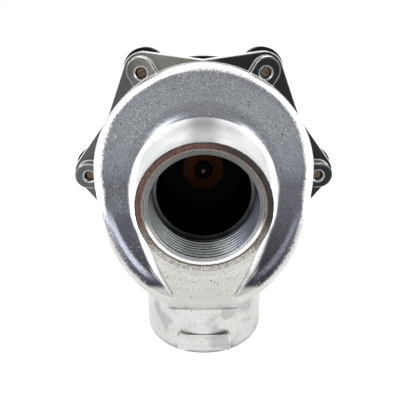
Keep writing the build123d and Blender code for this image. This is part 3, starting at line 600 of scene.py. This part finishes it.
def on_tap_wall(corner):
    """True on the plain wall of either tapping bore."""
    x, y, z = corner.co
    outlet_gap = abs(math.hypot(x, z - axis_z) - tap_wall_r)
    inlet_gap = abs(math.hypot(x, y) - tap_wall_r)
    outlet_off = abs(y - outlet_thread_y - tap_length / 2)
    inlet_off = abs(z - inlet_thread_z - tap_length / 2)
    in_outlet = outlet_gap < thread_tuck and outlet_off < tap_length / 2 + thread_tuck
    in_inlet = inlet_gap < thread_tuck and inlet_off < tap_length
    return in_outlet or in_inlet


tap_walls = [face for face in casting.faces if all(on_tap_wall(corner) for corner in face.verts)]
bmesh.ops.delete(casting, geom=tap_walls, context="FACES")
for turn in (outlet_turn, inlet_turn):
    groove = plain_mesh("thread", thread, thread_sizes)
    groove.transform(turn)
    casting.from_mesh(groove)
    bpy.data.meshes.remove(groove)

# The casting has a concave fillet where the neck and the apron's sides meet the ramp. It is
# laid over the copy as a strip on each side, and its reach in mm is given at every tenth of
# its length, from beside the neck down to the apron's foot.
boss_r = 27.7 * mm
boss_draft = math.radians(3)
apron_foot = Vector((12.4 * mm, -43.4 * mm))
apron_angle = math.atan2(apron_foot.y, apron_foot.x) + math.acos(boss_r / apron_foot.length)
flank_start = math.radians(6)
flank_steps = 48
neck_share = 0.3
apron_share = 0.9
draft_share = 0.2
flank_reach = (7.6, 7.7, 8.0, 8.8, 9.8, 9.4, 8.7, 7.7, 6.2, 3.4, 1.0)
arc_steps = 12
flank_marks = [step / arc_steps for step in range(arc_steps + 1)]
least_top_share = 0.2
wall_tuck = 0.05 * mm
ramp_lift = 0.04 * mm
slope_gauge = 2 * mm


def within(value):
    """The value, held between 0 and 1."""
    return min(1.0, max(0.0, value))


def flank_station(share):
    """The wall's start at the mouth, its outward way and its draft, at a share of the length."""
    if share < neck_share:
        angle = flank_start + (apron_angle - flank_start) * share / neck_share
        outward = Vector((math.cos(angle), math.sin(angle)))
        return outward * boss_r, outward, math.tan(boss_draft)
    run = (share - neck_share) / (1 - neck_share)
    outward = Vector((math.cos(apron_angle), math.sin(apron_angle)))
    start = (outward * boss_r).lerp(apron_foot, run * apron_share)
    return start, outward, math.tan(boss_draft) * max(0.0, 1 - run / draft_share)


def flank_row(share, side, seen):
    """Points across the fillet, from the wall to the ramp, on an arc tangent to both."""
    start, outward, draft = flank_station(share)

    def wall(deep, off=0.0):
        """A point of the wall, that deep behind the mouth and moved off the wall."""
        spot = start + outward * (deep * draft + off)
        return Vector((side * spot.x, mouth_y + deep, axis_z + spot.y))

    def ramp_skin(off):
        """The casting's skin that far off the wall's start, as seen from the front."""
        origin = wall(0.0, off)
        hit = seen.ray_cast(Vector((origin.x, mouth_y - mm, origin.z)), Vector((0, 1, 0)))[0]
        return hit if hit else origin

    before = min(int(share * 10), 9)
    growth = flank_reach[before + 1] - flank_reach[before]
    reach = (flank_reach[before] + growth * (share * 10 - before)) * mm
    near_off = 1.15 * reach
    near_deep = ramp_skin(near_off).y - mouth_y
    slope = (ramp_skin(near_off + slope_gauge).y - mouth_y - near_deep) / slope_gauge
    corner_deep = (near_deep - slope * near_off) / (1 - slope * draft)
    corner = wall(corner_deep)
    top = wall(max(corner_deep - reach, least_top_share * corner_deep), -wall_tuck)
    toe = ramp_skin(corner_deep * draft + reach)
    toe.y += ramp_lift
    pull = 2 * math.sin((top - corner).angle(toe - corner) / 2)
    points = []
    for u in flank_marks:
        parts = ((1 - u) ** 2, pull * u * (1 - u), u * u)
        points.append((top * parts[0] + corner * parts[1] + toe * parts[2]) / sum(parts))
    return points


def flank_mark(share, u):
    """1 marks the fillet for the casting's skin, and what goes beyond 1 is its painted highlight."""
    lit_end = min(0.92, 0.8 + share)
    lit_fade = 0.085
    most_grey = 0.7
    lit = within((lit_end - u) / lit_fade)
    grey_part = most_grey * within(share * 8 - 2.8) * within(3.9 - 6 * u)
    return 1 + lit * (1 - grey_part)


def flank_fillet(mesh, side, seen):
    """Adds the fillet of one side of the valve to the casting, with its painted highlight."""
    shine = mesh.verts.layers.float["flank"]
    rows = []
    for step in range(flank_steps + 1):
        share = step / flank_steps
        rows.append([mesh.verts.new(point) for point in flank_row(share, side, seen)])
        for vert, u in zip(rows[-1], flank_marks):
            vert[shine] = flank_mark(share, u)
    for above, below in zip(rows, rows[1:]):
        for i in range(len(flank_marks) - 1):
            corners = [above[i], above[i + 1], below[i + 1], below[i]]
            mesh.faces.new(corners if side > 0 else corners[::-1])


seen_casting = BVHTree.FromBMesh(casting)
casting.verts.layers.float.new("flank")
for side in (1, -1):
    flank_fillet(casting, side, seen_casting)

body_mesh = bpy.data.meshes.new("valve body")
casting.to_mesh(body_mesh)
casting.free()
body_mesh.materials.clear()
body_mesh.materials.append(aluminium)
body_mesh.attributes.remove(body_mesh.attributes["custom_normal"])
body_mesh.shade_smooth()
smooth = [corner.vector.copy() for corner in body_mesh.corner_normals]
stored = [corner.vector.copy() for corner in body_mesh.attributes["surface"].data]
normals = [kept if kept.length > 0.5 else own for kept, own in zip(stored, smooth)]
body_mesh.normals_split_custom_set(normals)
valve_body = bpy.data.objects.new("valve_body_with_threads", body_mesh)
bpy.context.collection.objects.link(valve_body)
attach(valve_body, "valve")
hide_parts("valve_body")


# The diaphragm is one rubber moulding on fabric: a thick centre disc that shuts the seat,
# and a thin rolling web whose bead is clamped between body and cover. The web is cut in
# sectors, so that each bends between the held bead and the moving centre.
def moulded(name, colour, rough, grains_per_mm, relief, pale, edge_shine=0.0, metal=0.0, specular=0.5):
    """A moulded or coated skin of one colour with fine grain, cloudy sheen and rubbed edges."""
    material, tree, shader, place = new_material(name)
    knobs = {"Place": place, "Grains per mm": grains_per_mm, "Pit Share": 0.03}
    grain = put(tree, "ShaderNodeGroup", knobs, node_tree=grain_tree).outputs
    edges = put(tree, "ShaderNodeGroup", node_tree=edge_tree).outputs["Edges"]
    lighter = tuple(min(1.0, part * pale) for part in colour[:3]) + (1,)
    shine = tuple(min(1.0, part + edge_shine) for part in colour[:3]) + (1,)
    mottled = blend_colour(tree, grain["Grain"], colour, lighter)
    wire(tree, shader, {
        "Base Color": blend_colour(tree, edges, mottled, shine),
        "Roughness": ramp(tree, grain["Cloud"], 0.0, 1.0, rough - 0.07, rough + 0.07),
        "Metallic": metal,
        "Specular IOR Level": specular,
        "Normal": bump(tree, grain["Height"], relief, 0.05 * mm),
    })
    return material


def dress(material, *names):
    """Gives CAD nodes their finish."""
    for name in names:
        mesh = frame["nodes"][name].data
        mesh.materials.clear()
        mesh.materials.append(material)


rubber = moulded("black rubber", grey(0.004, (1.05, 1.0, 0.95)), 0.75, 3.0, 0.5, 1.25, specular=0.08)
dress(rubber, "diaphragm_centre", "diaphragm_web")
web_sectors = 12
web_held_r = 45.0 * mm
web_free_r = 27.5 * mm
valve_axis = Vector((0, 0, axis_z))


def web_sector(middle, half):
    """One closed sector of the rolling web, half an angle to each side of its middle."""
    part = bmesh.new()
    part.from_mesh(frame["nodes"]["diaphragm_web"].data)
    bmesh.ops.remove_doubles(part, verts=part.verts, dist=same_spot)
    for turn in (-half, half):
        cut_angle = middle + turn
        away = math.copysign(1, turn) * Vector((-math.sin(cut_angle), 0, math.cos(cut_angle)))
        whole = part.verts[:] + part.edges[:] + part.faces[:]
        cut = bmesh.ops.bisect_plane(part, geom=whole, plane_co=valve_axis, plane_no=away, clear_outer=True)
        open_edges = [item for item in cut["geom_cut"] if isinstance(item, bmesh.types.BMEdge)]
        bmesh.ops.holes_fill(part, edges=open_edges)
    mesh = bpy.data.meshes.new("web sector")
    part.to_mesh(mesh)
    part.free()
    mesh.materials.clear()
    mesh.materials.append(rubber)
    return mesh


for number in range(web_sectors):
    middle = 2 * math.pi * number / web_sectors
    way = Vector((math.cos(middle), 0, math.sin(middle)))
    sector_mesh = web_sector(middle, math.pi / web_sectors)
    sector = bpy.data.objects.new(f"web_sector_{number + 1}", sector_mesh)
    bpy.context.collection.objects.link(sector)
    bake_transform(sector, "valve", "diaphragm", valve_axis + way * web_held_r, valve_axis + way * web_free_r)
    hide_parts("diaphragm_web")


# The disc in front of the diaphragm is a dark brown tarnished metal washer, and the bolt
# through it is black steel with a bright centre point left by its lathe.
def turned_metal(name, colour, dark, rough, rings_per_mm, point_r=0.0):
    """Turned or drawn metal: fine rings round the axis, a cloudy tarnish and bright edges."""
    material, tree, shader, place = new_material(name)
    grain_knobs = {"Place": place, "Grains per mm": 1.5, "Pit Share": 0.05}
    grain = put(tree, "ShaderNodeGroup", grain_knobs, node_tree=grain_tree).outputs
    turning_knobs = {"Place": place, "Rings per mm": rings_per_mm}
    turned = put(tree, "ShaderNodeGroup", turning_knobs, node_tree=turning_tree).outputs
    edges = put(tree, "ShaderNodeGroup", node_tree=edge_tree).outputs["Edges"]
    cloud = calc(tree, "MULTIPLY", grain["Cloud"], 0.5)
    tarnish = calc(tree, "MULTIPLY_ADD", turned["Rings"], 0.5, cloud)
    bright = tuple(min(1.0, part * 1.4) for part in colour[:3]) + (1,)
    skin = blend_colour(tree, tarnish, dark, colour)
    skin = blend_colour(tree, edges, skin, bright)
    if point_r:
        point = ramp(tree, turned["Radius"], 1.5 * point_r, point_r)
        skin = blend_colour(tree, point, skin, grey(0.4, (1.0, 0.85, 0.75)))
    wire(tree, shader, {
        "Base Color": skin,
        "Roughness": ramp(tree, grain["Grain"], 0.0, 1.0, rough - 0.06, rough + 0.08),
        "Metallic": 1.0,
        "Normal": bump(tree, turned["Rings"], 0.25, 0.03 * mm),
    })
    return material


brown = grey(0.02, (1.7, 0.66, 0.3))
dark_brown = grey(0.01, (1.7, 0.62, 0.3))
dress(turned_metal("brown metal", brown, dark_brown, 0.5, 1.2), "diaphragm_washer")
black_steel = turned_metal("black steel", grey(0.004), grey(0.002), 0.45, 1.5, point_r=0.8 * mm)
dress(black_steel, "diaphragm_bolt")


# Behind the diaphragm a dished plate and a hexagon nut clamp it on the bolt. Both are
# pressed or turned from steel and zinc plated.
zinc = turned_metal("zinc steel", grey(0.66, (0.98, 1.0, 1.03)), grey(0.50, (0.98, 1.0, 1.04)), 0.32, 1.0)
dress(zinc, "retainer_plate", "retainer_nut")


# The main spring is cold-wound spring wire, oiled and greyish, and sits between the
# retainer plate and the cover. The plunger has a small spring of the same wire.
spring_steel = turned_metal("spring steel", grey(0.46), grey(0.33), 0.34, 2.5)
dress(spring_steel, "main_spring", "plunger_spring")


def working_spring(node):
    """A copy of the spring, held with the valve's body in place of the CAD node."""
    spring = bpy.data.objects.new(node + "_wire", frame["nodes"][node].data.copy())
    bpy.context.collection.objects.link(spring)
    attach(spring, "valve")
    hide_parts(node)
    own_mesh(spring)


working_spring("main_spring")
working_spring("plunger_spring")


# The cover is moulded in black, glass-filled plastic, matt with a fine spark-eroded grain.
# It closes the chamber behind the diaphragm and is held by the screws in its lugs.
cover_plastic = moulded(
    "black cover plastic", grey(0.004), 0.55, 2.2, 0.45, 1.5, edge_shine=0.004, specular=0.12
)
dress(cover_plastic, "cover")


# Six hexagon screws with plain washers hold the cover. The screws are yellow passivated,
# which shows brownish at their ends inside the body's tapped holes.
yellow = grey(0.12, (1.2, 0.95, 0.7))
dark_yellow = grey(0.035, (1.2, 0.9, 0.66))
dress(turned_metal("yellow zinc steel", yellow, dark_yellow, 0.36, 1.0), "cover_screws")
dress(zinc, "cover_washers")


# The solenoid's stem is turned stainless steel: a hexagon plug with a thin tube, sealed in
# the cover by a rubber ring, with the fixed core welded in its end.
stainless = turned_metal("stainless steel", grey(0.62), grey(0.52), 0.26, 2.0)
dress(stainless, "core_tube", "fixed_core", "plunger")
dress(rubber, "stem_seal", "plunger_seal")


# A copper shading ring is pressed into the fixed core's face, and the winding is enamelled
# copper wire on a natural plastic bobbin.
def wound_copper():
    """Enamelled wire, turn beside turn round the bobbin."""
    material, tree, shader, place = new_material("copper")
    spot = put(tree, "ShaderNodeSeparateXYZ", {0: place}).outputs
    grain = put(tree, "ShaderNodeGroup", {"Place": place}, node_tree=grain_tree).outputs
    wire_pitch = 0.35 * mm
    wave = calc(tree, "SINE", calc(tree, "MULTIPLY", spot["Y"], 2 * math.pi / wire_pitch))
    turns = calc(tree, "MULTIPLY_ADD", wave, 0.5, 0.5)
    dark_enamel = (0.50, 0.16, 0.06, 1)
    light_enamel = (0.66, 0.25, 0.10, 1)
    # Painted shade: the grooves between the turns are darker.
    shade_between_turns = (0.25, 0.07, 0.03, 1)
    enamel = blend_colour(tree, grain["Cloud"], dark_enamel, light_enamel)
    wire(tree, shader, {
        "Base Color": blend_colour(tree, turns, shade_between_turns, enamel),
        "Roughness": ramp(tree, grain["Grain"], 0.0, 1.0, 0.26, 0.38),
        "Metallic": 0.9,
        "Normal": bump(tree, turns, 0.6, 0.1 * mm),
    })
    return material


dress(wound_copper(), "shading_ring", "coil_winding")
natural_plastic = moulded("natural plastic", grey(0.58, (1.04, 1.0, 0.88)), 0.45, 1.2, 0.2, 1.08)
dress(natural_plastic, "coil_bobbin", "contact_block")


# The coil is potted in black plastic. A U of black coated sheet steel closes its magnetic
# circuit, a washer and a nut hold it on the stem, and tinned blades lead out its wires.
coil_plastic = moulded("black coil plastic", grey(0.018), 0.42, 1.8, 0.3, 1.4, edge_shine=0.03)
dress(coil_plastic, "coil_body")
yoke_coat = moulded("black yoke steel", grey(0.05), 0.33, 1.4, 0.35, 1.3, edge_shine=0.06, metal=0.25)
dress(yoke_coat, "magnet_yoke")
dress(zinc, "coil_washer", "coil_nut")
tin = grey(0.66, (1.05, 1.0, 0.86))
dull_tin = grey(0.52, (1.05, 1.0, 0.84))
dress(turned_metal("tinned brass", tin, dull_tin, 0.3, 1.0), "contact_blades")


# The plug connector: a flat rubber seal, the contact block, and a black housing held by one
# long screw. The nut of its cable gland squeezes a rubber sleeve.
dress(rubber, "connector_seal", "gland_seal")
dress(coil_plastic, "connector_housing", "gland_nut")
dress(zinc, "connector_screw")


# The studio setting: a white floor that runs to a white horizon, a large soft lamp
# over each shoulder and one behind. The camera stands where the photograph's did.
def shown_ray(tree):
    """1 for rays that see the background directly, in metal or through glass."""
    path = put(tree, "ShaderNodeLightPath").outputs
    return either(tree, path["Is Camera Ray"], path["Is Glossy Ray"], path["Is Transmission Ray"])


def white_floor():
    """Matt white paper that keeps the object's shadow."""
    material = bpy.data.materials.new("white floor")
    material.use_nodes = True
    tree = material.node_tree
    wire(tree, tree.nodes["Principled BSDF"], {
        "Base Color": grey(0.8),
        "Roughness": 0.9,
        "Specular IOR Level": 0.0,
        "Emission Color": grey(1.0),
        "Emission Strength": calc(tree, "MULTIPLY", shown_ray(tree), 0.66),
    })
    return material


bpy.ops.mesh.primitive_plane_add(size=12)
floor = bpy.context.object
floor.name = "floor"
floor.location.z = -0.02 * mm
floor.data.materials.append(white_floor())

world = bpy.data.worlds.new("white room")
world.use_nodes = True
bpy.context.scene.world = world
room = world.node_tree
towards = put(room, "ShaderNodeTexCoord").outputs["Generated"]
height = put(room, "ShaderNodeSeparateXYZ", {0: towards}).outputs["Z"]
ambient = 0.5
shown = shown_ray(room)
seen_room = both(room, shown, ramp(room, height, 0.45, 0.95, 1.0, 0.9))
lighting_room = both(room, outside(room, shown), ambient)
room_strength = calc(room, "ADD", seen_room, lighting_room)
wire(room, room.nodes["Background"], {"Strength": room_strength, "Color": grey(1.0)})

lamps = (
    ("left lamp", (-0.75, -0.45, 0.75), 0.5, 7.0),
    ("right lamp", (0.85, -0.25, 0.6), 0.5, 5.0),
    ("back lamp", (0.05, 0.6, 0.95), 0.6, 6.0),
)
for name, spot, size, power in lamps:
    lamp = bpy.data.lights.new(name, "AREA")
    lamp.size = size
    lamp.energy = power
    stand = bpy.data.objects.new(name, lamp)
    bpy.context.collection.objects.link(stand)
    stand.location = spot
    aim = valve_axis - Vector(spot)
    stand.rotation_euler = aim.to_track_quat("-Z", "Y").to_euler()

lens = bpy.data.cameras.new("camera")
lens.lens = 37.65
lens.sensor_width = 36
camera = bpy.data.objects.new("camera", lens)
bpy.context.collection.objects.link(camera)
camera.location = (-0.00102, -0.18398, 0.13916)
camera.rotation_euler = [math.radians(angle) for angle in (68.272, 0.2514, 0.118)]

scene = bpy.context.scene
scene.camera = camera
scene.view_settings.view_transform = "Standard"
